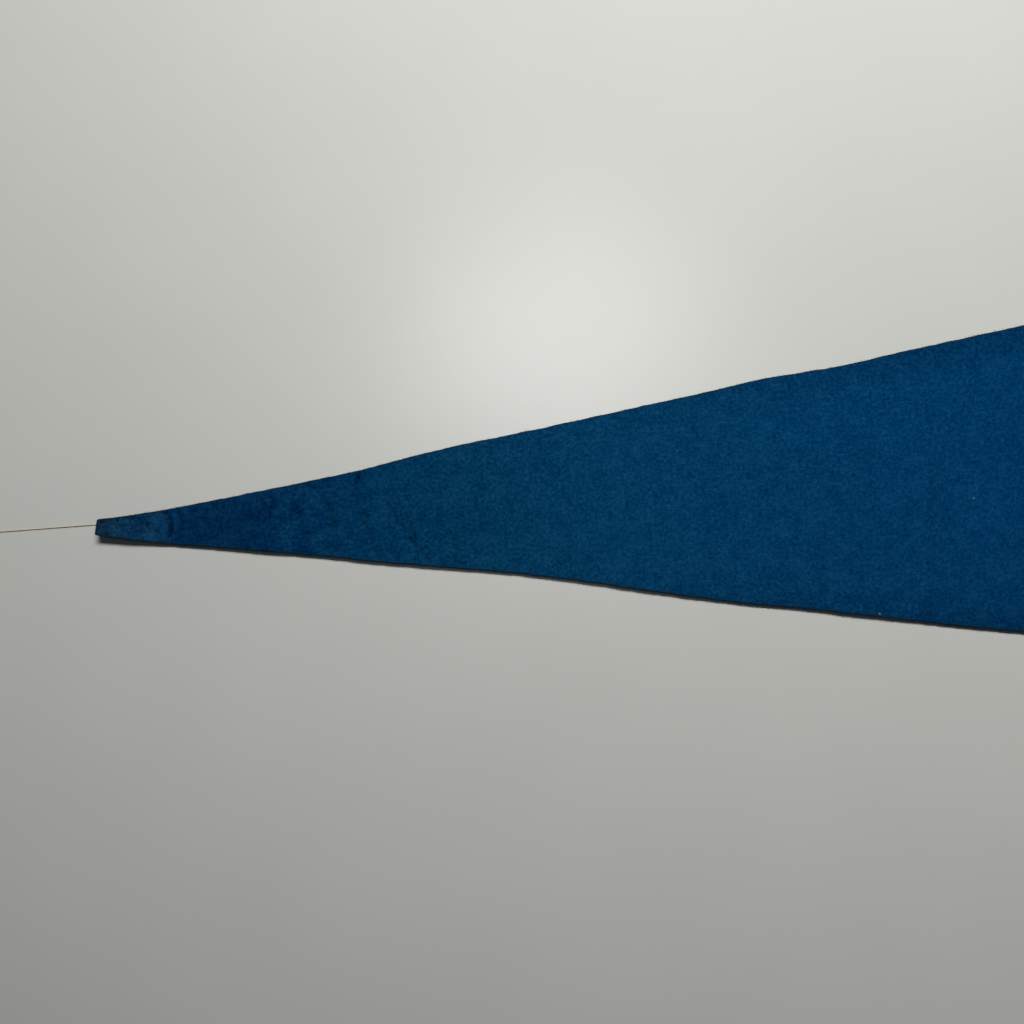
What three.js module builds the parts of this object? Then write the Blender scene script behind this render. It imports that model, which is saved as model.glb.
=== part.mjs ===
import * as THREE from 'three';

// A felt pennant that lies face up, with a thread at its tip. Sizes are in millimetres.
// +X runs from the blunt tip to the wide hoist end, +Y across the felt, +Z up from the surface it lies on.
// The origin is on that surface, under the middle of the felt.

const felt = {
  length: 686,
  hoistWidth: 225,
  tipWidth: 6.4,
  thickness: 1.4,
  tipCornerRadius: { upper: 1, lower: 0.25 },
  tipSlant: 0.8, // the tip's cut leans back this far from its lower to its upper corner
  tipSlantReach: 20, // and the lean has died out this far from the tip
  creaseAt: 29, // the line across which the tip is bent up
  creaseDepth: 0.3,
  creaseHalfWidth: 1.2,
  columns: 10,
};

const thread = { diameter: 0.3, sides: 8, steps: 64 };
const knot = { length: 1.2, width: 0.9, height: 0.75, turns: 10, rings: 6, offSurface: 0.02 };
const gap = 0.3; // between a knot and the thread that it ends

// How far each cut edge wanders outward from the straight line between its two corners, by distance from the tip.
const cutWander = [
  { at: 0, upper: 0.3, lower: -0.5 },
  { at: 9, upper: -0.55, lower: -0.05 },
  { at: 17, upper: -1.05, lower: 0.05 },
  { at: 28, upper: -1.65, lower: 0.2 },
  { at: 40, upper: -1.95, lower: -0.25 },
  { at: 64, upper: -2.3, lower: -1 },
  { at: 96, upper: -2.6, lower: -1.55 },
  { at: 112, upper: -2.3, lower: -1.5 },
  { at: 128, upper: -1.45, lower: -1.95 },
  { at: 144, upper: -1.05, lower: -2.35 },
  { at: 168, upper: -1.2, lower: -2.75 },
  { at: 180, upper: -1.35, lower: -2.6 },
  { at: 192, upper: -1.25, lower: -2.45 },
  { at: 224, upper: -1.1, lower: -1.2 },
  { at: 248, upper: -0.95, lower: -0.5 },
  { at: 264, upper: -0.5, lower: -0.4 },
  { at: 280, upper: -1.05, lower: -0.85 },
  { at: 300, upper: -2, lower: -0.65 },
  { at: 328, upper: -1.6, lower: -0.6 },
  { at: 346, upper: -1.6, lower: -0.4 },
  { at: 370, upper: -1.5, lower: -0.7 },
  { at: 450, upper: -0.9, lower: -1.5 },
  { at: 530, upper: -1.5, lower: -1 },
  { at: 610, upper: -0.6, lower: -0.4 },
  { at: 686, upper: 0, lower: 0 },
];

// How far the underside stands off the surface at the upper edge, the middle and the lower edge.
const lift = [
  { at: 0, upper: 2.15, middle: 2.2, lower: 2.3 },
  { at: 6, upper: 1.75, middle: 1.75, lower: 1.85 },
  { at: 12.5, upper: 1.25, middle: 1.3, lower: 1.5 },
  { at: 19, upper: 0.7, middle: 0.75, lower: 0.85 },
  { at: 25.5, upper: 0.2, middle: 0.2, lower: 0.25 },
  { at: 29, upper: 0, middle: 0, lower: 0 },
  { at: 38, upper: 0.15, middle: 0.1, lower: 0.05 },
  { at: 46, upper: 0.3, middle: 0.2, lower: 0.1 },
  { at: 58, upper: 0.5, middle: 0.35, lower: 0.2 },
  { at: 70, upper: 0.5, middle: 0.4, lower: 0.4 },
  { at: 80, upper: 0.25, middle: 0.2, lower: 0.05 },
  { at: 104, upper: 0.15, middle: 0.05, lower: 0.3 },
  { at: 120, upper: 0, middle: 0, lower: 0.2 },
  { at: 142, upper: 0, middle: 0, lower: 0.15 },
  { at: 165, upper: 0.1, middle: 0, lower: 0 },
  { at: 215, upper: 0.2, middle: 0, lower: 0.25 },
  { at: 265, upper: 0, middle: 0, lower: 0 },
  { at: 300, upper: 0.1, middle: 0, lower: 0.35 },
  { at: 345, upper: 0.25, middle: 0, lower: 0 },
  { at: 420, upper: 0, middle: 0, lower: 0.35 },
  { at: 500, upper: 0.35, middle: 0, lower: 0 },
  { at: 560, upper: 0, middle: 0, lower: 0 },
  { at: 686, upper: 0, middle: 0, lower: 0 },
];

// Stretches of the felt and the longest step between two sections in each.
const sections = [
  { from: 0, to: 2, step: 0.5 },
  { from: 2, to: 26, step: 2.5 },
  { from: 26, to: 32, step: 0.75 },
  { from: 32, to: 130, step: 5 },
  { from: 130, to: 370, step: 10 },
  { from: 370, to: 686, step: 14 },
];

// The thread's way: how far past the tip's end (less than 0 is under the felt), how far to the +Y side, and how
// high its middle runs. It is taut, so it lies straight.
const threadWay = [
  { past: -13, side: 1.8, up: 0.16 },
  { past: -10, side: 1.74, up: 0.16 },
  { past: -6, side: 1.65, up: 0.16 },
  { past: -2, side: 1.56, up: 0.16 },
  { past: 2, side: 1.48, up: 0.16 },
  { past: 6, side: 1.39, up: 0.16 },
  { past: 10, side: 1.3, up: 0.16 },
  { past: 14, side: 1.21, up: 0.16 },
  { past: 18, side: 1.13, up: 0.16 },
  { past: 22, side: 1.04, up: 0.16 },
  { past: 26, side: 0.95, up: 0.16 },
  { past: 30, side: 0.86, up: 0.16 },
  { past: 34, side: 0.78, up: 0.16 },
  { past: 38, side: 0.69, up: 0.16 },
  { past: 42, side: 0.6, up: 0.16 },
];

const feltFinish = new THREE.MeshStandardMaterial({ color: 0x04406f, roughness: 0.95, metalness: 0 });
const threadFinish = new THREE.MeshStandardMaterial({ color: 0x9a8d7a, roughness: 0.85, metalness: 0 });

// The slope that a smooth curve through a table's rows has at one of them.
function slopeAtRow(rows, column, index) {
  const before = rows[Math.max(index - 1, 0)];
  const after = rows[Math.min(index + 1, rows.length - 1)];
  return (after[column] - before[column]) / (after.at - before.at);
}

// A column of a table at any distance from the tip, on the smooth curve through its rows.
function readTable(rows, column, at) {
  const next = THREE.MathUtils.clamp(rows.findIndex((row) => row.at > at), 1, rows.length - 1);
  const index = at >= rows[rows.length - 1].at ? rows.length - 2 : next - 1;
  const [low, high] = [rows[index], rows[index + 1]];
  const span = high.at - low.at;
  const t = (at - low.at) / span;
  const rise = t * t * (3 - 2 * t);
  return low[column] * (1 - rise) + high[column] * rise
    + slopeAtRow(rows, column, index) * span * t * (1 - t) * (1 - t)
    - slopeAtRow(rows, column, index + 1) * span * t * t * (1 - t);
}

// The felt's half width on one side, drawn in by the rounded corner at the tip.
function halfWidth(at, side) {
  const straight = THREE.MathUtils.lerp(felt.tipWidth, felt.hoistWidth, at / felt.length) / 2;
  const radius = felt.tipCornerRadius[side];
  const inCorner = Math.max(radius - at, 0);
  const corner = radius - Math.sqrt(radius ** 2 - inCorner ** 2);
  return straight + readTable(cutWander, side, at) - corner;
}

// The underside's height at a share from -1 at the lower edge to 1 at the upper one.
function undersideHeight(at, across) {
  const [upper, middle, lower] = ['upper', 'middle', 'lower'].map((column) => readTable(lift, column, at));
  const lean = (upper - lower) / 2;
  const bow = (upper + lower) / 2 - middle;
  return Math.max(middle + lean * across + bow * across * across, 0);
}

// A point of the felt: on its underside where face is 0, on its upper side where face is 1.
function feltPoint(at, across, face) {
  const slant = felt.tipSlant * Math.max(1 - at / felt.tipSlantReach, 0) * (across + 1) / 2;
  const y = across * halfWidth(at, across > 0 ? 'upper' : 'lower');
  const pinch = felt.creaseDepth * Math.exp(-(((at - felt.creaseAt) / felt.creaseHalfWidth) ** 2));
  const z = undersideHeight(at, across) + face * (felt.thickness - pinch);
  return new THREE.Vector3(at + slant - felt.length / 2, y, z);
}

// The distances from the tip at which the felt has a section.
function sectionPlaces() {
  const places = sections.flatMap(({ from, to, step }) => {
    const count = Math.ceil((to - from) / step);
    return Array.from({ length: count }, (_, i) => from + ((to - from) * i) / count);
  });
  return [...places, felt.length];
}

// One closed sheet: a box of one layer whose points are moved to the felt's.
function feltPennant() {
  const places = sectionPlaces();
  const count = places.length - 1;
  const geometry = new THREE.BoxGeometry(count, 2, 1, count, felt.columns, 1);
  const position = geometry.attributes.position;
  for (let i = 0; i < position.count; i += 1) {
    const at = places[Math.round(position.getX(i) + count / 2)];
    const point = feltPoint(at, position.getY(i), position.getZ(i) + 0.5);
    position.setXYZ(i, point.x, point.y, point.z);
  }
  geometry.computeVertexNormals();
  return namedMesh('felt_pennant', geometry, feltFinish);
}

function threadPoint({ past, side, up }) {
  return new THREE.Vector3(-felt.length / 2 - past, side, up);
}

function tipThread() {
  const section = new THREE.Shape();
  for (let i = 0; i < thread.sides; i += 1) {
    const turn = ((i + 0.5) / thread.sides) * 2 * Math.PI;
    const point = [Math.cos(turn), Math.sin(turn)].map((value) => (value * thread.diameter) / 2);
    if (i === 0) section.moveTo(...point);
    else section.lineTo(...point);
  }
  const extrudePath = new THREE.CatmullRomCurve3(threadWay.map(threadPoint));
  const geometry = new THREE.ExtrudeGeometry(section, { steps: thread.steps, extrudePath });
  return namedMesh('tip_thread', geometry, threadFinish);
}

// A knot is a small egg just past the thread's end, on the thread's own line.
function threadKnot(name, end, direction) {
  const geometry = new THREE.SphereGeometry(0.5, knot.turns, knot.rings);
  geometry.scale(knot.length, knot.width, knot.height);
  const mesh = namedMesh(name, geometry, threadFinish);
  mesh.position.copy(threadPoint(end));
  mesh.position.x += direction * (gap + knot.length / 2);
  mesh.position.z = Math.max(mesh.position.z, knot.height / 2 + knot.offSurface);
  return mesh;
}

function namedMesh(name, geometry, material) {
  const mesh = new THREE.Mesh(geometry, material.clone());
  mesh.name = name;
  return mesh;
}

const pennant = new THREE.Group();
pennant.add(
  feltPennant(),
  tipThread(),
  threadKnot('tip_knot', threadWay[0], 1),
  threadKnot('end_knot', threadWay[threadWay.length - 1], -1),
);

export default pennant;
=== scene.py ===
import math

import bmesh
import bpy
import numpy as np
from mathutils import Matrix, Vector, noise


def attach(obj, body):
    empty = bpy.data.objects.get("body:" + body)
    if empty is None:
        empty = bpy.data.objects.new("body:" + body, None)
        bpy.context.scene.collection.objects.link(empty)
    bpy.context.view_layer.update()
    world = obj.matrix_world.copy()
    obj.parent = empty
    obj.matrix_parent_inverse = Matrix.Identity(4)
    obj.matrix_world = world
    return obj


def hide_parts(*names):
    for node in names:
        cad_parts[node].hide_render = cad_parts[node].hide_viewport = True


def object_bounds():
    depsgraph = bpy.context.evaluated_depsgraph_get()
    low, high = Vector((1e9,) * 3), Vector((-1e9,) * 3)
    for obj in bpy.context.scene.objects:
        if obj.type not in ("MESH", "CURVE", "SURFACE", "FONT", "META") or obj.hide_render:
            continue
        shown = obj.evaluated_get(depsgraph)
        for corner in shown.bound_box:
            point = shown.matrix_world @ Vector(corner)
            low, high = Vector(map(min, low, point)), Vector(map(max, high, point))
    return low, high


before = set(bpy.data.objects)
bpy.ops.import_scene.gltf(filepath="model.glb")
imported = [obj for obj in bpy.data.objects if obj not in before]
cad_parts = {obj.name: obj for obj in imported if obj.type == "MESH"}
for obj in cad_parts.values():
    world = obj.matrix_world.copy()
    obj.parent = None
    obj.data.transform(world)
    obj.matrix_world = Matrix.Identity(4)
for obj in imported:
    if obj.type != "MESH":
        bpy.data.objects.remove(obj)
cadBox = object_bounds()
mm = 0.001  # sizes in this file are millimetres, Blender's are metres


# Small helpers

def hexColour(code):
    # sRGB hex to the linear colour that Blender wants
    shares = [int(code[i:i + 2], 16) / 255 for i in (0, 2, 4)]
    return [s / 12.92 if s <= 0.04045 else ((s + 0.055) / 1.055) ** 2.4 for s in shares] + [1]


def addNode(tree, kind, inputs=None, **settings):
    # adds one node; an input is a plain value or another node's output socket
    # (a colour mix has its share at input 0, its colours at 6 and 7, and its result at output 2)
    node = tree.nodes.new(kind)
    for name, value in settings.items():
        setattr(node, name, value)
    for name, value in (inputs or {}).items():
        if isinstance(value, bpy.types.NodeSocket):
            tree.links.new(value, node.inputs[name])
        else:
            node.inputs[name].default_value = value
    return node


def startMaterial(name, **shaderValues):
    # a fresh material with one Principled shader; shaderValues are its constant sockets
    material = bpy.data.materials.new(name)
    material.use_nodes = True
    tree = material.node_tree
    shader = tree.nodes["Principled BSDF"]
    for socket, value in shaderValues.items():
        shader.inputs[socket.replace("_", " ")].default_value = value
    return material, tree, shader


def meshPiece(name, points, faces, material):
    # points in millimetres
    mesh = bpy.data.meshes.new(name)
    mesh.from_pydata((np.asarray(points, float) * mm).tolist(), [], faces)
    mesh.validate()
    mesh.polygons.foreach_set("use_smooth", [True] * len(mesh.polygons))
    mesh.materials.append(material)
    piece = bpy.data.objects.new(name, mesh)
    bpy.context.scene.collection.objects.link(piece)
    return piece


def tubeMesh(ways, radii, sides):
    # closed tubes along many ways at once: ways is tube, point, xyz, and radii broadcasts to tube, point
    ways = np.asarray(ways, float)
    tubeCount, pointCount = ways.shape[:2]
    along = np.gradient(ways, axis=1)
    along /= np.linalg.norm(along, axis=2, keepdims=True)
    across = np.cross(along, (0.03, 0.02, 1))  # off upright, so that a tube that stands up has a frame too
    across /= np.linalg.norm(across, axis=2, keepdims=True)
    upward = np.cross(across, along)
    turns = np.arange(sides) / sides * 2 * math.pi
    ring = across[:, :, None] * np.cos(turns)[:, None] + upward[:, :, None] * np.sin(turns)[:, None]
    reach = np.broadcast_to(radii, (tubeCount, pointCount))[:, :, None, None]
    points = (ways[:, :, None] + ring * reach).reshape(-1, 3)
    faces = []
    for tube in range(tubeCount):
        start = tube * pointCount * sides
        for k in range(pointCount - 1):
            low, high = start + k * sides, start + (k + 1) * sides
            for i in range(sides):
                j = (i + 1) % sides
                faces.append((low + i, high + i, high + j, low + j))
        last = start + (pointCount - 1) * sides
        faces.append(tuple(range(start, start + sides)))
        faces.append(tuple(range(last + sides - 1, last - 1, -1)))
    return points, faces


def columnsOf(names, rows):
    # a table of rows becomes one array for each named column
    return dict(zip(names.split(), np.array(rows, float).T))


def readTable(table, column, at):
    # the smooth curve through a column, read at any distance from the tip
    places, values = table["at"], table[column]
    rows = np.arange(len(places))
    before = np.maximum(rows - 1, 0)
    after = np.minimum(rows + 1, len(places) - 1)
    slopes = (values[after] - values[before]) / (places[after] - places[before])
    i = np.clip(np.searchsorted(places, at, side="right") - 1, 0, len(places) - 2)
    span = places[i + 1] - places[i]
    t = (at - places[i]) / span
    rise = t * t * (3 - 2 * t)
    swing = slopes[i] * span * t * (1 - t) ** 2 - slopes[i + 1] * span * t * t * (1 - t)
    return values[i] * (1 - rise) + values[i + 1] * rise + swing


# The camera, straight above the tip half, as close as a phone is held

cameraPlace = {
    "fromTip": 166.0,  # along the felt, of the point under the lens
    "side": -2.32,
    "aboveFace": 318,
    "roll": -3.05,  # degrees, so that the felt's middle line rises to the right
    "lens": 27.95,  # on a 36 mm sensor: 409.6 mm of felt across the picture
}
feltLength = (cadBox[1].x / mm) * 2  # the hoist end is as far from the origin as the tip
feltThickness = 1.4


def setCamera(place):
    data = bpy.data.cameras.new("camera")
    data.lens = place["lens"]
    data.sensor_width = 36
    data.clip_start = 0.01
    camera = bpy.data.objects.new("camera", data)
    height = feltThickness + place["aboveFace"]
    camera.location = Vector((place["fromTip"] - feltLength / 2, place["side"], height)) * mm
    camera.rotation_euler = (0, 0, math.radians(place["roll"]))
    bpy.context.scene.collection.objects.link(camera)
    bpy.context.scene.camera = camera


setCamera(cameraPlace)


# The thread at the tip: two plies of waxed cotton, and its knots

thread = {
    "diameter": 0.3,
    "plyRadius": 0.085,
    "plyPitch": 0.9,  # one full turn of the twist
    "plySides": 7,
    "stepsPerTurn": 12,
    "colour": "d9bb95",
    "darkColour": "ab9070",
    "fibreSize": 0.15,
    "fibreRaise": 0.03,
    "stainSize": 5,
}
threadWay = columnsOf("past side up", [  # past the tip's end, to the +Y side, height of its middle
    (-13, 1.8, 0.16), (-10, 1.74, 0.16), (-6, 1.65, 0.16), (-2, 1.56, 0.16), (2, 1.48, 0.16),
    (6, 1.39, 0.16), (10, 1.3, 0.16), (14, 1.21, 0.16), (18, 1.13, 0.16), (22, 1.04, 0.16),
    (26, 0.95, 0.16), (30, 0.86, 0.16), (34, 0.78, 0.16), (38, 0.69, 0.16), (42, 0.6, 0.16),
])
knot = {
    "size": 0.14,  # a third of the loops' radius
    "depth": 0.15,
    "offSurface": 0.05,
    "tubeRadius": 0.14,
    "tubeSides": 8,
    "points": 72,
    "gap": 0.3,  # from the thread's end to the knot's middle part
    "half": 0.6,  # from there to its middle
    "tail": 1.6,
}


def cottonThread(look):
    # Waxed cotton sewing thread, spun and twisted: a dull tan with browner patches at random, no shine.
    material, tree, shader = startMaterial(
        "cottonThread", Roughness=0.85, IOR=1.53, Specular_IOR_Level=0.25)
    place = addNode(tree, "ShaderNodeTexCoord").outputs["Object"]
    fibre = addNode(tree, "ShaderNodeTexNoise", {
        "Vector": place, "Scale": 1 / (look["fibreSize"] * mm), "Detail": 3}).outputs["Fac"]
    stain = addNode(tree, "ShaderNodeTexNoise", {
        "Vector": place, "Scale": 1 / (look["stainSize"] * mm), "Detail": 1}).outputs["Fac"]
    both = addNode(tree, "ShaderNodeMath", {0: fibre, 1: stain}, operation="MULTIPLY")
    share = addNode(tree, "ShaderNodeMapRange", {
        "Value": both.outputs[0], "From Min": 0.12, "From Max": 0.38})
    colour = addNode(tree, "ShaderNodeMix", {
        0: share.outputs[0],
        6: hexColour(look["darkColour"]),
        7: hexColour(look["colour"]),
    }, data_type="RGBA")
    tree.links.new(colour.outputs[2], shader.inputs["Base Color"])
    bump = addNode(tree, "ShaderNodeBump", {
        "Height": fibre, "Strength": 0.6, "Distance": look["fibreRaise"] * mm})
    tree.links.new(bump.outputs["Normal"], shader.inputs["Normal"])
    return material


def threadLine():
    # the thread's middle line in millimetres, as evenly spaced points
    rows = {"at": threadWay["past"], "side": threadWay["side"], "up": threadWay["up"]}
    length = rows["at"][-1] - rows["at"][0]
    count = round(length / thread["plyPitch"] * thread["stepsPerTurn"])
    past = np.linspace(rows["at"][0], rows["at"][-1], count)
    return np.stack([-feltLength / 2 - past, readTable(rows, "side", past), readTable(rows, "up", past)], 1)


def twistedThread(material):
    line = threadLine()
    run = np.concatenate([[0], np.cumsum(np.linalg.norm(np.diff(line, axis=0), axis=1))])
    swing = thread["diameter"] / 2 - thread["plyRadius"]
    plies = []
    for start in (0, math.pi):
        turn = run / thread["plyPitch"] * 2 * math.pi + start
        plies.append(line + np.stack([0 * turn, np.cos(turn) * swing, np.sin(turn) * swing], 1))
    points, faces = tubeMesh(plies, thread["plyRadius"], thread["plySides"])
    return meshPiece("twisted_thread", points, faces, material), line, run[-1]


def overhandKnot(name, end, direction, extra, material):
    # a trefoil pulled tight, the strand that comes in from the thread, and one more strand
    middle = end + np.array([direction * (knot["gap"] + knot["half"]), 0, 0])
    middle[2] = max(middle[2], knot["depth"] + knot["tubeRadius"] + knot["offSurface"])
    t = np.linspace(0.25, 2 * math.pi + 0.05, knot["points"])  # its two ends don't quite meet
    loops = np.stack([np.sin(t) + 2 * np.sin(2 * t), np.cos(t) - 2 * np.cos(2 * t)], 1) * knot["size"]
    loops = np.column_stack([loops, -np.sin(3 * t) * knot["depth"]]) + middle
    points, faces = tubeMesh([loops], knot["tubeRadius"], knot["tubeSides"])
    for way in ([end, end * 0.6 + middle * 0.4, middle], extra(middle)):
        more, moreFaces = tubeMesh([way], knot["tubeRadius"], knot["tubeSides"])
        faces += [tuple(i + len(points) for i in face) for face in moreFaces]
        points = np.concatenate([points, more])
    return meshPiece(name, points, faces, material)


def stitchInto(middle):
    # up from the knot into the felt's back
    return [middle, middle + [0.05, 0.02, 0.4], middle + [0.08, 0.0, 1.0]]


def looseTail(middle):
    # the cut end past the knot, down on the surface
    drop = np.array([0, 0, knot["tubeRadius"] + 0.02 - middle[2]])
    way = []
    for share in (0, 0.3, 0.5, 0.75, 1):
        step = np.array([-share * knot["tail"], 0.5 * share * share, 0])
        way.append(middle + (step + drop * min(1, 2.5 * share)))
    return way


threadMaterial = cottonThread(thread)
threadPiece, threadPoints, threadRun = twistedThread(threadMaterial)
tipKnot = overhandKnot("knot_at_tip", threadPoints[0], 1, stitchInto, threadMaterial)
endKnot = overhandKnot("knot_at_end", threadPoints[-1], -1, looseTail, threadMaterial)
for piece, node in ((threadPiece, "tip_thread"), (tipKnot, "tip_knot"), (endKnot, "end_knot")):
    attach(piece, "root")
    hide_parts(node)
print("thread and knots made, thread", round(threadRun, 1), "mm long")


# The felt

felt = {
    "hoistWidth": 225,
    "tipWidth": 6.4,
    "tipCorner": {"upper": 1, "lower": 0.25},  # radius
    "tipSlant": 0.8,  # the tip's cut leans back this far from its lower to its upper corner
    "tipSlantReach": 20,
    "creaseAt": 29,  # the line across which the tip is bent up
    "creaseDepth": 0.08,
    "creaseHalfWidth": 1.2,
    "rimInsets": (0, 0.15, 0.4, 0.8),  # columns close to a cut edge, for its rounding
    "rimDrops": (0.14, 0.05, 0.01, 0),  # how far the face falls there
    "wallShares": (0.75, 0.5, 0.25),  # the points down a cut, from the face to the back
    "wallBulge": 0.08,
    "wallRough": 0.05,
    "wallRoughSize": 0.9,
    "faceColumns": 84,
    "backColumns": 36,
    "stretches": (  # from, to, step between two rings
        (0.8, 2, 0.3), (2, 25, 0.7), (25, 34, 0.35), (34, 150, 0.55), (150, 372, 1.3), (372, 685.2, 2.5),
    ),
    "ragged": ((5.0, 0.15), (1.6, 0.09)),  # the scissors' waver: length of a wave, how far it goes
    "lumps": ((24.0, 0.10), (3.2, 0.06), (1.6, 0.05)),  # matted wool: size of a lump, its height
    # how much stronger the lumps are, by distance from the tip
    "crumpled": ((0, 1.3), (26, 1.3), (34, 0.9), (60, 1.5), (95, 1.6), (115, 1.2), (150, 1), (686, 1)),
    "creaseUneven": (0.75, 0.8),  # share of a soft crease's depth on average, and how much that varies
    "unevenSize": 6.5,
    "creaseWander": 1.3,  # how far a soft crease strays from its points
    "wanderSize": 5,
    "wanderFrom": (40, 60),  # from the tip: no straying up to here, all of it from there on
    # beside a soft crease: share of its depth, then how far out and how wide, in half widths
    "swell": (0.4, 2.2, 1.2),
    "swellShown": 0.6,  # how far a swell counts as the opposite of a trough in the painted shade, so a swell is painted lighter
}
noiseLayers = {  # each use reads its own part of the same noise
    "upper": 3.5, "lower": 7.5, "lumps": 11.5, "upperWall": 21.5, "lowerWall": 25.5,
    "uneven": 31.5, "wanderAlong": 41.5, "wanderAcross": 47.5,
}
cutWander = columnsOf("at upper lower", [  # how far each cut edge strays outward from a straight line
    (0, 0.3, -0.5), (9, -0.55, -0.05), (17, -1.05, 0.05), (28, -1.65, 0.2), (40, -1.95, -0.25),
    (64, -2.3, -1), (96, -2.6, -1.55), (112, -2.3, -1.5), (128, -1.45, -1.95), (144, -1.05, -2.35),
    (168, -1.2, -2.75), (180, -1.35, -2.6), (192, -1.25, -2.45), (224, -1.1, -1.2), (248, -0.95, -0.5),
    (264, -0.5, -0.4), (280, -1.05, -0.85), (300, -2, -0.65), (328, -1.6, -0.6), (346, -1.6, -0.4),
    (370, -1.5, -0.7), (450, -0.9, -1.5), (530, -1.5, -1), (610, -0.6, -0.4), (686, 0, 0),
])
lift = columnsOf("at upper middle lower", [  # the back's height off the surface
    (0, 2.15, 2.2, 2.3), (6, 1.75, 1.75, 1.85), (12.5, 1.25, 1.3, 1.5), (19, 0.7, 0.75, 0.85),
    (25.5, 0.2, 0.2, 0.25), (29, 0, 0, 0), (38, 0.15, 0.1, 0.05), (46, 0.3, 0.2, 0.1),
    (58, 0.5, 0.35, 0.2), (70, 0.5, 0.4, 0.4), (80, 0.25, 0.2, 0.05), (104, 0.15, 0.05, 0.3),
    (120, 0, 0, 0.2), (142, 0, 0, 0.15), (165, 0.1, 0, 0), (215, 0.2, 0, 0.25),
    (265, 0, 0, 0), (300, 0.1, 0, 0.35), (345, 0.25, 0, 0), (420, 0, 0, 0.35),
    (500, 0.35, 0, 0), (560, 0, 0, 0), (686, 0, 0, 0),
])
softCreases = [  # (from tip, side) along each, then its depth and half width
    ([(26.4, 5.6), (28.0, 3.9), (29.0, 1.8), (29.3, -0.4), (29.2, -2.6), (28.6, -4.4)], 0.28, 0.95),
    ([(30.2, 5.0), (31.4, 1.6), (31.7, -2.4), (31.2, -6.4)], -0.08, 0.8),
    ([(32.6, 6.6), (33.6, 2.4), (34.2, -2.0)], 0.14, 0.9),
    ([(10.5, 1.0), (10.5, -1.2)], 0.16, 1.0),
    ([(21.6, 3.8), (20.4, 1.3), (19.8, -1.0)], 0.09, 0.8),
    ([(38.4, 6.6), (39.0, 4.6)], 0.2, 1.3),
    ([(64.7, 8.2), (67.4, 5.2), (68.8, 2.1)], 0.14, 1.1),
    ([(70.2, 9.9), (70.6, 6.8), (70.4, 4.5)], 0.15, 1.1),
    ([(85.9, 12.9), (89.4, 9.8), (91.4, 6.2), (93.2, 2.3), (95.3, -4.6)], 0.16, 1.2),
    ([(103.6, 17.2), (105.0, 14.2), (104.6, 11.5)], 0.15, 1.3),
    ([(107.2, -0.4), (108.7, -9.3), (110.4, -14.3), (113.1, -18.3)], 0.17, 1.1),
    ([(117.1, 3.0), (120.7, -4.1), (125.2, -11.1), (127.9, -15.2), (131.5, -19.8)], 0.14, 1.2),
    ([(118.3, 6.8), (123.7, -2.3), (127.6, -11.7)], 0.11, 1.2),
    ([(123.3, 8.5), (126.9, 1.5)], 0.11, 1.1),
    ([(140.9, -10.0), (144.5, -16.1)], 0.13, 1.3),
    ([(190.1, 25.0), (189.0, 4.0), (187.5, -22.9)], 0.07, 1.0),
    ([(334.7, 25.3), (333.4, -14.0), (331.0, -51.4)], 0.08, 1.1),
]


def noiseOver(x, y, size, use):
    # smooth noise from -1 to 1 over arrays of places, the same each time
    layer = noiseLayers[use]
    flat = [noise.noise(Vector((a / size, b / size, layer))) for a, b in zip(np.ravel(x), np.ravel(y))]
    return np.reshape(flat, np.shape(x))


def halfWidth(at, side):
    straight = (felt["tipWidth"] + (felt["hoistWidth"] - felt["tipWidth"]) * at / feltLength) / 2
    radius = felt["tipCorner"][side]
    corner = radius - np.sqrt(radius ** 2 - np.maximum(radius - at, 0) ** 2)
    fade = np.clip((feltLength - at) / 10, 0, 1)  # none at the hoist corners, whose places are the frame's
    waver = sum(noiseOver(at, 0 * at, size, side) * reach for size, reach in felt["ragged"])
    return straight + readTable(cutWander, side, at) - corner + waver * fade


def backHeight(at, share):
    upper, middle, lower = (readTable(lift, column, at) for column in ("upper", "middle", "lower"))
    lean, bow = (upper - lower) / 2, (upper + lower) / 2 - middle
    return np.maximum(middle + lean * share + bow * share ** 2, 0)


def creaseField(at, side):
    # how deep each soft crease is, broken up unevenly along it, and the swell on both sides of it
    average, variation = felt["creaseUneven"]
    uneven = average + variation * noiseOver(at, side, felt["unevenSize"], "uneven")
    wander = felt["creaseWander"] * np.interp(at, felt["wanderFrom"], (0, 1))
    along = at + wander * noiseOver(at, side, felt["wanderSize"], "wanderAlong")
    across = side + wander * noiseOver(at, side, felt["wanderSize"], "wanderAcross")
    height, out, wide = felt["swell"]
    trough, swell = np.zeros(np.shape(at)), np.zeros(np.shape(at))
    for way, depth, half in softCreases:
        nearest = np.full(np.shape(at), np.inf)
        for (a0, s0), (a1, s1) in zip(way, way[1:]):
            reach = (a1 - a0) ** 2 + (s1 - s0) ** 2
            t = np.clip(((along - a0) * (a1 - a0) + (across - s0) * (s1 - s0)) / reach, 0, 1)
            away = np.hypot(along - a0 - t * (a1 - a0), across - s0 - t * (s1 - s0))
            nearest = np.minimum(nearest, away)
        trough += depth * np.exp(-(nearest / half) ** 2)
        swell += height * depth * np.exp(-((nearest - out * half) / (wide * half)) ** 2)
    return trough * uneven, swell * uneven


def rimDrop(inset):
    return np.interp(inset, felt["rimInsets"], felt["rimDrops"])


def faceHeight(at, side, share, inset):
    # the felt's upper face
    pinch = felt["creaseDepth"] * np.exp(-((at - felt["creaseAt"]) / felt["creaseHalfWidth"]) ** 2)
    trough, swell = creaseField(at, side)
    lumps = sum(noiseOver(at, side, size, "lumps") * height for size, height in felt["lumps"])
    lumps = lumps * np.interp(at, *np.transpose(felt["crumpled"]))
    return backHeight(at, share) + feltThickness - pinch - trough + swell + lumps - rimDrop(inset)


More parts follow.
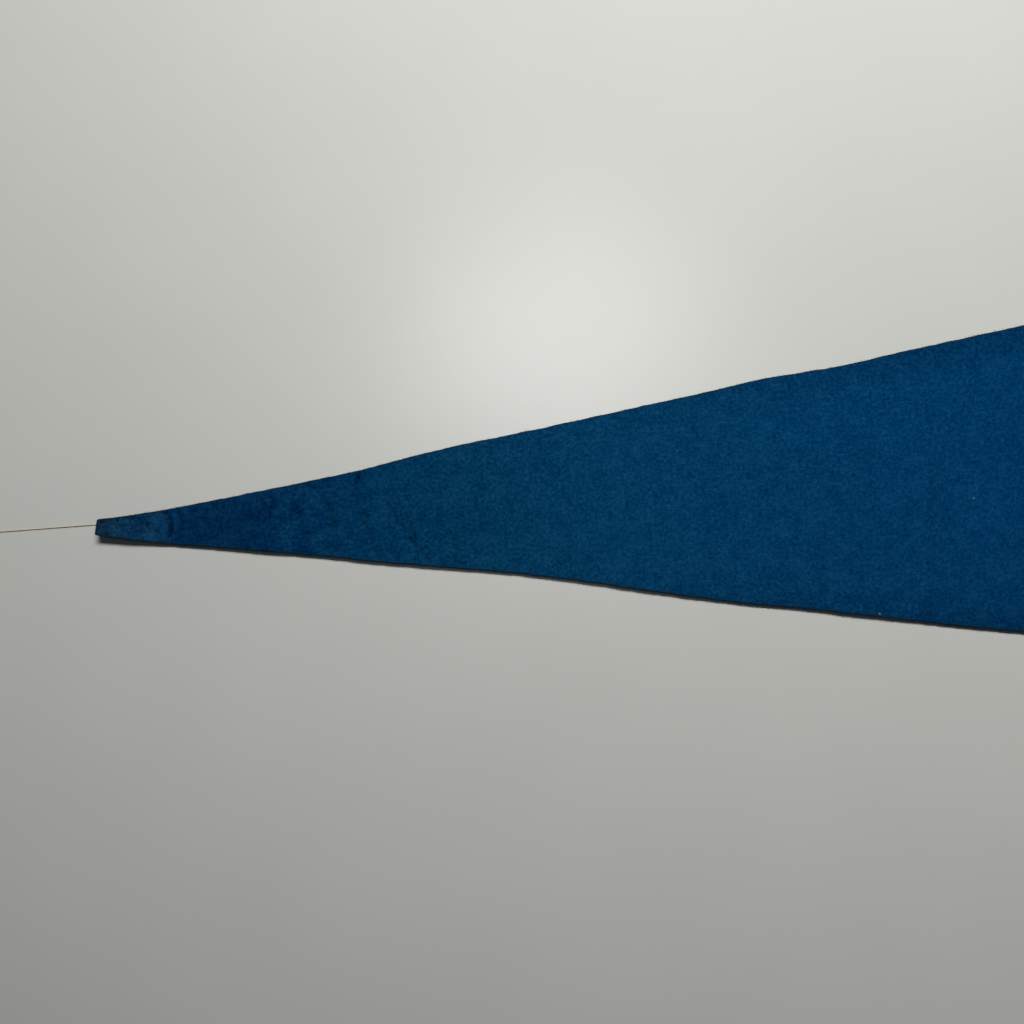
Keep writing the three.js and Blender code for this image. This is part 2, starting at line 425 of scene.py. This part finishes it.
def alongFelt(at, share):
    # from the tip's slanted cut to the frame's x
    slant = felt["tipSlant"] * np.maximum(1 - at / felt["tipSlantReach"], 0) * (share + 1) / 2
    return at + slant - feltLength / 2


def acrossFelt(lower, upper, count):
    # side places from the lower cut edge to the upper one, closer together at both
    insets = np.array(felt["rimInsets"])
    first = -lower[:, None] + insets
    last = upper[:, None] - insets[::-1]
    middle = first[:, -1:] + (last[:, :1] - first[:, -1:]) * np.linspace(0, 1, count + 2)[1:-1]
    return np.concatenate([first, middle, last], 1)


def stationPlaces():
    # the distances from the tip at which the felt has a ring of points
    insets = list(felt["rimInsets"])
    places = insets[:-1]
    for start, stop, step in felt["stretches"]:
        places += list(np.linspace(start, stop, math.ceil((stop - start) / step), endpoint=False))
    return np.array(places + [feltLength - inset for inset in insets[::-1]])


def feltRings():
    # points all the way round the felt at each station, how far in from a cut each is, and its crease depth
    # for the painted shade
    at = stationPlaces()
    upper, lower = halfWidth(at, "upper"), halfWidth(at, "lower")
    endInset = np.minimum(at, feltLength - at)[:, None]

    def shareOf(side):
        return np.where(side > 0, side / upper[:, None], side / lower[:, None])

    places = at[:, None]
    face = acrossFelt(lower, upper, felt["faceColumns"])
    faceInset = np.minimum(np.minimum(upper[:, None] - face, face + lower[:, None]), endInset)
    top = faceHeight(places + 0 * face, face, shareOf(face), faceInset)
    back = acrossFelt(lower, upper, felt["backColumns"])[:, ::-1]
    backInset = np.minimum(np.minimum(upper[:, None] - back, back + lower[:, None]), endInset)
    bottom = backHeight(places, shareOf(back)) + 0.5 * rimDrop(backInset)

    def wall(edge, outward, use):
        # the points down a cut between the face and the back
        shares = np.array([felt["wallShares"][::outward]])
        high, low = (top[:, -1:], bottom[:, :1]) if outward > 0 else (top[:, :1], bottom[:, -1:])
        rough = noiseOver(places + 0 * shares, places * 0 + shares * 3, felt["wallRoughSize"], use)
        side = edge[:, None] + outward * felt["wallBulge"] + rough * felt["wallRough"]
        return side, low + (high - low) * shares

    upperWall, lowerWall = wall(upper, 1, "upperWall"), wall(-lower, -1, "lowerWall")
    side = np.concatenate([face, upperWall[0], back, lowerWall[0]], 1)
    height = np.concatenate([top, upperWall[1], bottom, lowerWall[1]], 1)
    x = alongFelt(places, np.clip(shareOf(side), -1, 1))
    rim = np.concatenate([faceInset, 0 * upperWall[0], backInset, 0 * lowerWall[0]], 1)
    trough, swell = creaseField(places + 0 * side, side)
    return np.stack([x, side, height], 2), rim, trough - felt["swellShown"] * swell


def feltMesh(material):
    rings, rim, crease = feltRings()
    count, around = rings.shape[:2]
    index = np.arange(count * around).reshape(count, around)
    after = np.roll(index, -1, axis=1)
    quads = np.stack([index[:-1], index[1:], after[1:], after[:-1]], 2).reshape(-1, 4)
    faces = quads.tolist() + [index[0].tolist(), index[-1][::-1].tolist()]
    piece = meshPiece("felt_sheet", rings.reshape(-1, 3), faces, material)
    for name, values in (("rimInset", rim), ("crease", crease)):
        attribute = piece.data.attributes.new(name, "FLOAT", "POINT")
        attribute.data.foreach_set("value", values.ravel())
    solid = bmesh.new()
    solid.from_mesh(piece.data)
    ends = [face for face in solid.faces if len(face.verts) > 4]
    bmesh.ops.triangulate(solid, faces=ends)
    bmesh.ops.recalc_face_normals(solid, faces=solid.faces)
    solid.to_mesh(piece.data)
    solid.free()
    return piece


woolGrain = {
    "clump": 1.4,  # matted fibre clumps, mm
    "patch": 6,  # slow patches of more and less dye
    "fibreLength": 3.0,
    "fibreWidth": 0.42,  # real wool is 0.03, drawn more than ten times wider so that it shows
    "fibreTurns": (3, 18, 166, 98, 52),  # degrees from the felt's length, most of them near it
    "fibreBend": 1.1,
    "bendSize": 2.6,
    "raise": 0.2,
    "fibreTone": "4f9cca",  # what a paler fibre adds to the dye, and a gap between fibres takes away
    "streakTone": (-0.028, 0.047),
    "clumpTone": 0.058,
    "patchTone": 0.022,
    "wornTo": (60, 120),  # the slow patches are stronger from the tip to here, then fade
    "wornMore": 1.0,
    "creaseShade": 1.7,  # painted shade: how much darker the colour is for each mm of trough
    "creaseMost": 0.25,  # up to this many mm
    "darkest": "000a12",
    # painted shade: a darker grey mixed in along the cut edges and down the cut walls, where the rounded
    # cut turns from the light
    "cutShadeColour": "182c34",
    "cutReach": 1.2,
    "cutShare": 0.75,
    "edgeShade": 0.24,  # painted shade: the colour is this much darker at the cuts of the wide part
    "edgeShadeReach": 14,  # and no darker this far in from them
    "edgeShadeFrom": (150, 350),  # from the tip: none up to here, all of it from there on
    "zoneWobble": 14,  # how far the borders of the zones below stray
    # from tip, colour, strength of the grain: worn and greyer at the tip, pressed past its crease
    "zones": (
        (0, "0b2034", 0.9), (5, "0a243b", 0.9), (9, "0e3250", 1), (24, "0d395a", 1),
        (28, "063357", 0.8), (33, "012e52", 0.58), (56, "002c50", 0.6), (80, "003157", 0.76),
        (110, "01365b", 0.78), (150, "033a5d", 0.87), (200, "033e64", 0.83), (370, "003a65", 0.78),
        (686, "003a64", 0.78),
    ),
}


def fromTipToX(places):
    return [(at - feltLength / 2) * mm for at in places]


def laidFibres(tree, look, place):
    # long thin noise laid several ways and bent a little, the strongest of them at each spot
    drift = addNode(tree, "ShaderNodeTexNoise", {
        "Vector": place, "Scale": 1 / (look["bendSize"] * mm), "Detail": 1})
    bent = addNode(tree, "ShaderNodeVectorMath", {
        0: drift.outputs["Color"], 1: (look["fibreBend"] * mm,) * 3, 2: place}, operation="MULTIPLY_ADD")
    strongest = None
    for layer, turn in enumerate(look["fibreTurns"]):
        laid = addNode(tree, "ShaderNodeMapping", {
            "Vector": bent.outputs[0],
            "Location": (0, 0, layer * 0.05),
            "Rotation": (0, 0, math.radians(turn)),
            "Scale": (look["fibreLength"] * mm, look["fibreWidth"] * mm, look["fibreWidth"] * mm),
        }, vector_type="TEXTURE")
        streak = addNode(tree, "ShaderNodeTexNoise", {
            "Vector": laid.outputs[0], "Scale": 1.0, "Detail": 1}).outputs["Fac"]
        if strongest is None:
            strongest = streak
        else:
            strongest = addNode(tree, "ShaderNodeMath", {
                0: strongest, 1: streak}, operation="MAXIMUM").outputs[0]
    return strongest


def wornZones(tree, look, x, patch):
    # the dye from the tip to the hoist as the colour, and how strong the grain is there as the alpha
    wobble = addNode(tree, "ShaderNodeMath", {
        0: patch, 1: look["zoneWobble"] * mm, 2: x}, operation="MULTIPLY_ADD")
    shift = look["zoneWobble"] / 2  # the noise is a half on average
    fromTip = addNode(tree, "ShaderNodeMapRange", {
        "Value": wobble.outputs[0],
        "From Min": (shift - feltLength / 2) * mm,
        "From Max": (shift + feltLength / 2) * mm,
    })
    zone = addNode(tree, "ShaderNodeValToRGB", {"Fac": fromTip.outputs[0]})
    stops = zone.color_ramp.elements
    for at, _, _ in look["zones"][1:-1]:
        stops.new(at / feltLength)
    for stop, (at, code, strength) in zip(stops, look["zones"]):
        stop.color = hexColour(code)[:3] + [strength]
    return zone


def foldShade(tree, look, x, rim, crease):
    # painted shade and light, as a factor on the dye colour: less than 1 in a trough and toward the cuts of
    # the wide part (painted shade), more than 1 on a swell (painted highlight)
    most = look["creaseMost"]
    swing = most * look["creaseShade"]
    creased = addNode(tree, "ShaderNodeMapRange", {
        "Value": crease, "From Min": -most, "From Max": most,
        "To Min": 1 + swing, "To Max": 1 - swing})
    shadeStart, shadeFull = fromTipToX(look["edgeShadeFrom"])
    # painted shade toward the cuts of the wide part, fading in along the felt
    along = addNode(tree, "ShaderNodeMapRange", {
        "Value": x, "From Min": shadeStart, "From Max": shadeFull,
        "To Min": 0, "To Max": -look["edgeShade"]})
    inward = addNode(tree, "ShaderNodeMapRange", {
        "Value": rim, "From Min": 0, "From Max": look["edgeShadeReach"], "To Min": 1, "To Max": 0})
    edged = addNode(tree, "ShaderNodeMath", {
        0: along.outputs[0], 1: inward.outputs[0], 2: 1}, operation="MULTIPLY_ADD")
    return addNode(tree, "ShaderNodeMath", {
        0: creased.outputs[0], 1: edged.outputs[0]}, operation="MULTIPLY").outputs[0]


def grainTone(tree, look, x, patch, clump, fibres):
    # how much of the paler fibre shows: slow patches, more of them near the tip, then clumps and streaks
    # (noise keeps near a half, so the ends that are read below take in nearly all of it)
    wornStart, wornEnd = fromTipToX(look["wornTo"])
    worn = addNode(tree, "ShaderNodeMapRange", {
        "Value": x, "From Min": wornStart, "From Max": wornEnd,
        "To Min": 1 + look["wornMore"], "To Max": 1})
    patches = addNode(tree, "ShaderNodeMapRange", {
        "Value": patch, "From Min": 0.3, "From Max": 0.7,
        "To Min": -look["patchTone"], "To Max": look["patchTone"]})
    clumps = addNode(tree, "ShaderNodeMapRange", {
        "Value": clump, "From Min": 0.32, "From Max": 0.68,
        "To Min": -look["clumpTone"], "To Max": look["clumpTone"]})
    gap, fibre = look["streakTone"]
    streaks = addNode(tree, "ShaderNodeMapRange", {
        "Value": fibres, "From Min": 0.5, "From Max": 0.75, "To Min": gap, "To Max": fibre})
    mottled = addNode(tree, "ShaderNodeMath", {
        0: patches.outputs[0], 1: worn.outputs[0], 2: clumps.outputs[0]}, operation="MULTIPLY_ADD")
    return addNode(tree, "ShaderNodeMath", {
        0: mottled.outputs[0], 1: streaks.outputs[0]}, operation="ADD").outputs[0]


def woolFelt(look):
    # Wool-blend craft felt, carded, matted and pressed: dull and light-soaking, with paler fibres
    # every way, a faint haze at a low angle, and a darker, greyer line of painted shade along the cut
    # edges.
    material, tree, shader = startMaterial(
        "woolFelt", Roughness=0.95, IOR=1.54, Specular_IOR_Level=0.01,
        Sheen_Weight=0.01, Sheen_Roughness=0.6, Sheen_Tint=hexColour("7fb4e0"))
    place = addNode(tree, "ShaderNodeTexCoord").outputs["Object"]
    x = addNode(tree, "ShaderNodeSeparateXYZ", {0: place}).outputs["X"]
    rim = addNode(tree, "ShaderNodeAttribute", attribute_name="rimInset").outputs["Fac"]  # in millimetres
    crease = addNode(tree, "ShaderNodeAttribute", attribute_name="crease").outputs["Fac"]
    clump = addNode(tree, "ShaderNodeTexNoise", {
        "Vector": place, "Scale": 1 / (look["clump"] * mm), "Detail": 3, "Roughness": 0.6}).outputs["Fac"]
    patch = addNode(tree, "ShaderNodeTexNoise", {
        "Vector": place, "Scale": 1 / (look["patch"] * mm), "Detail": 2}).outputs["Fac"]
    fibres = laidFibres(tree, look, place)
    zone = wornZones(tree, look, x, patch)
    # the zone colours times painted shade in troughs and at the wide part's cuts, and a painted highlight
    # on swells
    shadedDye = addNode(tree, "ShaderNodeVectorMath", {
        0: zone.outputs["Color"], "Scale": foldShade(tree, look, x, rim, crease)}, operation="SCALE")
    tone = addNode(tree, "ShaderNodeMath", {
        0: grainTone(tree, look, x, patch, clump, fibres), 1: zone.outputs["Alpha"]}, operation="MULTIPLY")
    toned = addNode(tree, "ShaderNodeVectorMath", {
        0: hexColour(look["fibreTone"])[:3],
        1: tone.outputs[0],
        2: shadedDye.outputs[0],
    }, operation="MULTIPLY_ADD")
    flecked = addNode(tree, "ShaderNodeVectorMath", {
        0: toned.outputs[0], 1: hexColour(look["darkest"])[:3]}, operation="MAXIMUM")
    # painted shade along the cut edges and walls, strongest at the cut and gone cutReach mm in
    nearCut = addNode(tree, "ShaderNodeMapRange", {
        "Value": rim, "From Min": 0, "From Max": look["cutReach"],
        "To Min": look["cutShare"], "To Max": 0})
    colour = addNode(tree, "ShaderNodeMix", {
        0: nearCut.outputs[0],
        6: flecked.outputs[0],
        7: hexColour(look["cutShadeColour"]),
    }, data_type="RGBA")
    tree.links.new(colour.outputs[2], shader.inputs["Base Color"])
    height = addNode(tree, "ShaderNodeMath", {0: fibres, 1: clump}, operation="ADD")
    bump = addNode(tree, "ShaderNodeBump", {
        "Height": height.outputs[0], "Strength": 0.7, "Distance": look["raise"] * mm})
    tree.links.new(bump.outputs["Normal"], shader.inputs["Normal"])
    return material


feltMaterial = woolFelt(woolGrain)
feltPiece = feltMesh(feltMaterial)
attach(feltPiece, "root")
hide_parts("felt_pennant")
stations = stationPlaces()
flatArea = float(np.trapz(halfWidth(stations, "upper") + halfWidth(stations, "lower"), stations))
print("felt made,", len(feltPiece.data.polygons), "faces, flat area", round(flatArea), "square mm")


# Loose fibres: a fringe of fuzz along the cuts, and a few that lie over the face

fuzz = {
    "perMm": 3.2,  # along the cuts
    "edgeLength": (0.2, 0.75),
    "edgeTurn": 0.75,  # how widely they point either side of straight out, in radians
    "edgeRise": (0.1, 0.35),  # their slope, on average and how widely it varies
    "faceFibres": 4200,
    "faceLength": (0.7, 2.4),
    "faceArch": 0.22,
    "curl": 1.3,  # radians along a fibre
    "radius": 0.02,
    "points": 5,
    "seed": 41,
    "colour": "103a58",
    "paleColour": "3a739e",
    "toneSize": 2,
}


def looseWool(look):
    # Single dyed wool fibres that stand clear of the mat: lighter than it, since light passes through them.
    material, tree, shader = startMaterial("looseWool", Roughness=0.8, IOR=1.54, Specular_IOR_Level=0.1)
    place = addNode(tree, "ShaderNodeTexCoord").outputs["Object"]
    tone = addNode(tree, "ShaderNodeTexNoise", {
        "Vector": place, "Scale": 1 / (look["toneSize"] * mm), "Detail": 1})
    share = addNode(tree, "ShaderNodeMapRange", {
        "Value": tone.outputs["Fac"], "From Min": 0.35, "From Max": 0.75})
    colour = addNode(tree, "ShaderNodeMix", {
        0: share.outputs[0],
        6: hexColour(look["colour"]),
        7: hexColour(look["paleColour"]),
    }, data_type="RGBA")
    tree.links.new(colour.outputs[2], shader.inputs["Base Color"])
    return material


def fibreWays(roots, heading, rise, length, rng):
    # curved fibres from their roots: heading is an angle in the plane, rise a slope up
    count = len(roots)
    s = np.linspace(0, 1, fuzz["points"])
    curl = rng.uniform(-fuzz["curl"], fuzz["curl"], count)
    angle = heading[:, None] + curl[:, None] * s
    step = length[:, None] / (fuzz["points"] - 1)
    x = roots[:, :1] + np.cumsum(np.cos(angle) * step, 1)
    y = roots[:, 1:2] + np.cumsum(np.sin(angle) * step, 1)
    z = roots[:, 2:] + rise[:, None] * length[:, None] * s * (1 - 0.6 * s)
    return np.stack([x, y, np.maximum(z, 0.03)], 2)


def cutFringe(roots, outward, rng):
    # fibres that stand off a cut, outward being the angle straight out of it
    count = len(roots)
    heading = outward + rng.normal(0, fuzz["edgeTurn"], count)
    rise = rng.normal(*fuzz["edgeRise"], count)
    length = rng.uniform(*fuzz["edgeLength"], count)
    return fibreWays(roots, heading, rise, length, rng)


def edgeFuzz(material, rng):
    ways = []
    for side, sign in (("upper", 1), ("lower", -1)):
        count = int(feltLength * fuzz["perMm"])
        at = rng.uniform(0.8, feltLength - 0.3, count)
        share = rng.uniform(0.08, 0.98, count)
        y = sign * (halfWidth(at, side) - 0.05)
        z = backHeight(at, sign) + share * (feltThickness - 0.15)
        ways.append(cutFringe(np.stack([alongFelt(at, sign), y, z], 1), sign * math.pi / 2, rng))
    for end, outward in ((0, math.pi), (feltLength, 0)):
        wide = halfWidth(np.array([end]), "upper")[0]
        count = int(2 * wide * fuzz["perMm"])
        at = np.full(count, float(end))
        share = rng.uniform(-0.97, 0.97, count)
        z = backHeight(at, share) + rng.uniform(0.1, feltThickness - 0.15, count)
        ways.append(cutFringe(np.stack([alongFelt(at, share), share * wide, z], 1), outward, rng))
    points, faces = tubeMesh(np.concatenate(ways), fuzz["radius"], 3)
    return meshPiece("edge_fuzz", points, faces, material)


def faceFuzz(material, rng):
    count = fuzz["faceFibres"]
    at = feltLength * np.sqrt(rng.uniform(0.0004, 0.996, count))  # as many for each square mm everywhere
    share = rng.uniform(-0.985, 0.985, count)
    half = np.where(share > 0, halfWidth(at, "upper"), halfWidth(at, "lower"))
    roots = np.stack([alongFelt(at, share), share * half, 0 * at], 1)
    length = rng.uniform(*fuzz["faceLength"], count)
    heading = rng.uniform(0, 2 * math.pi, count)
    ways = fibreWays(roots, heading, 0 * at, length, rng)
    tips = ways[:, :, 0] + feltLength / 2
    halves = np.where(ways[:, :, 1] > 0, halfWidth(tips, "upper"), halfWidth(tips, "lower"))
    clearOfCuts = np.abs(ways[:, :, 1]) < halves - 0.9
    inside = (clearOfCuts & (tips > 2) & (tips < feltLength - 1)).all(1)
    ways, tips, halves = ways[inside], tips[inside], halves[inside]
    rise = rng.uniform(0.0, fuzz["faceArch"], len(ways))
    arch = rise[:, None] * np.sin(np.linspace(0, math.pi, fuzz["points"]))
    side = ways[:, :, 1]
    ways[:, :, 2] = faceHeight(tips, side, side / halves, np.full(tips.shape, 2.0)) + arch
    points, faces = tubeMesh(ways, fuzz["radius"], 3)
    return meshPiece("face_fuzz", points, faces, material)


rng = np.random.default_rng(fuzz["seed"])
woolMaterial = looseWool(fuzz)
for piece in (edgeFuzz(woolMaterial, rng), faceFuzz(woolMaterial, rng)):
    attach(piece, "root")
print("loose fibres made")


# Lint: pale flecks that the felt has picked up

lint = {
    "places": (  # from tip, side, size
        (350.7, -6.8, 0.55), (310.4, -50.9, 0.6), (362.4, 59.6, 0.5), (448.0, 31.0, 0.5),
        (523.0, -40.5, 0.6), (611.0, 72.0, 0.5), (634.0, -12.0, 0.4),
    ),
    "strands": 7,
    "points": 9,
    "radius": 0.035,
    "seed": 5,
    "colour": "a9b6bd",
    "darkColour": "7c8a93",
    "toneSize": 0.4,
}


def paleLint(look):
    # A pinch of undyed cotton fluff: dull and off white.
    material, tree, shader = startMaterial("paleLint", Roughness=0.9, IOR=1.53, Specular_IOR_Level=0.1)
    place = addNode(tree, "ShaderNodeTexCoord").outputs["Object"]
    tone = addNode(tree, "ShaderNodeTexNoise", {"Vector": place, "Scale": 1 / (look["toneSize"] * mm)})
    colour = addNode(tree, "ShaderNodeMix", {
        0: tone.outputs["Fac"],
        6: hexColour(look["darkColour"]),
        7: hexColour(look["colour"]),
    }, data_type="RGBA")
    tree.links.new(colour.outputs[2], shader.inputs["Base Color"])
    return material


def lintFlecks(material, look):
    rng = np.random.default_rng(look["seed"])
    ways = []
    for at, side, size in look["places"]:
        half = halfWidth(np.array([at]), "upper" if side > 0 else "lower")[0]
        share = side / half
        top = feltThickness
        if abs(share) < 1:
            top = faceHeight(np.array([at]), np.array([side]), share, 2.0)[0]
        for _ in range(look["strands"]):
            t = np.linspace(0, 1, look["points"])
            turn = rng.uniform(0, 2 * math.pi) + rng.uniform(2, 5) * t
            reach = size * rng.uniform(0.4, 1) * (0.3 + 0.7 * t)
            x = at - feltLength / 2 + reach * np.cos(turn)
            y = side + reach * np.sin(turn)
            z = top + 0.06 + 0.16 * rng.uniform(0.3, 1) * np.sin(t * math.pi)
            ways.append(np.stack([x, y, z], 1))
    points, faces = tubeMesh(ways, look["radius"], 4)
    return meshPiece("lint_flecks", points, faces, material)


lintPiece = lintFlecks(paleLint(lint), lint)
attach(lintPiece, "root")
print("lint made")


# The floor and the lights

studio = {
    "floorReach": 3000,
    "floorDrop": 0.05,  # just under the felt's back, so that the two never share a plane
    "floorColour": "d6d6cf",
    "floorRoughness": 0.36,
    "mistSize": 60,
    "mistTone": (0.97, 1.03),
    # lamps and what they aim at: right, up and height from the point under the camera, as the picture lies
    "mainLamp": (110, 733, 717),
    "mainAim": (230, 66, 0),
    "mainSize": (800, 260),  # long, so that shadows are softer at their ends than along their sides
    "mainWatts": 7.95,
    "mainSpread": 150,  # degrees
    "shineLamp": (60, 215, 717),  # seen in the paint's shine alone, as a soft bright patch
    "shineAim": (60, 215, 0),
    "shineSize": (360, 240),
    "shineWatts": 2.8,
    "shineSpread": 180,
    "world": "b8c9d8",
    "worldStrength": 0.058,
}


def satinPaint(look):
    # Sprayed satin paint on a smooth floor: pale grey, a soft shine with no clear mirror image.
    material, tree, shader = startMaterial("satinPaint", Roughness=look["floorRoughness"], IOR=1.5)
    place = addNode(tree, "ShaderNodeTexCoord").outputs["Object"]
    mist = addNode(tree, "ShaderNodeTexNoise", {
        "Vector": place, "Scale": 1 / (look["mistSize"] * mm), "Detail": 3})
    darker, lighter = look["mistTone"]
    tone = addNode(tree, "ShaderNodeMapRange", {
        "Value": mist.outputs["Fac"], "To Min": darker, "To Max": lighter})
    colour = addNode(tree, "ShaderNodeVectorMath", {
        0: hexColour(look["floorColour"])[:3], "Scale": tone.outputs[0]}, operation="SCALE")
    tree.links.new(colour.outputs[0], shader.inputs["Base Color"])
    return material


def pictureSpot(aside, away, height):
    # a spot given from the point under the camera, in the picture's own right and up
    roll = math.radians(cameraPlace["roll"])
    right = Vector((math.cos(roll), math.sin(roll), 0))
    up = Vector((-math.sin(roll), math.cos(roll), 0))
    under = Vector((cameraPlace["fromTip"] - feltLength / 2, cameraPlace["side"], 0))
    return (under + right * aside + up * away + Vector((0, 0, height))) * mm


def addLamp(look, which):
    # an oval area lamp, from the values that start with its name
    data = bpy.data.lights.new(which + "_lamp", "AREA")
    data.shape = "ELLIPSE"
    data.size, data.size_y = [side * mm for side in look[which + "Size"]]
    data.energy = look[which + "Watts"]
    data.spread = math.radians(look[which + "Spread"])
    lamp = bpy.data.objects.new(which + "_lamp", data)
    lamp.location = pictureSpot(*look[which + "Lamp"])
    toAim = pictureSpot(*look[which + "Aim"]) - lamp.location
    lamp.rotation_euler = toAim.to_track_quat("-Z", "Y").to_euler()
    bpy.context.scene.collection.objects.link(lamp)
    return lamp


def makeStudio(look):
    reach, low = look["floorReach"], -look["floorDrop"]
    corners = [(-reach, -reach, low), (reach, -reach, low), (reach, reach, low), (-reach, reach, low)]
    floor = meshPiece("floor", corners, [(0, 1, 2, 3)], satinPaint(look))
    addLamp(look, "main").visible_glossy = False  # its own patch of shine would lie past the picture's top
    addLamp(look, "shine").visible_diffuse = False
    world = bpy.data.worlds.new("room")
    world.use_nodes = True
    background = world.node_tree.nodes["Background"]
    background.inputs["Color"].default_value = hexColour(look["world"])
    background.inputs["Strength"].default_value = look["worldStrength"]
    bpy.context.scene.world = world
    bpy.context.scene.view_settings.view_transform = "Standard"


makeStudio(studio)
print("floor and lights made")
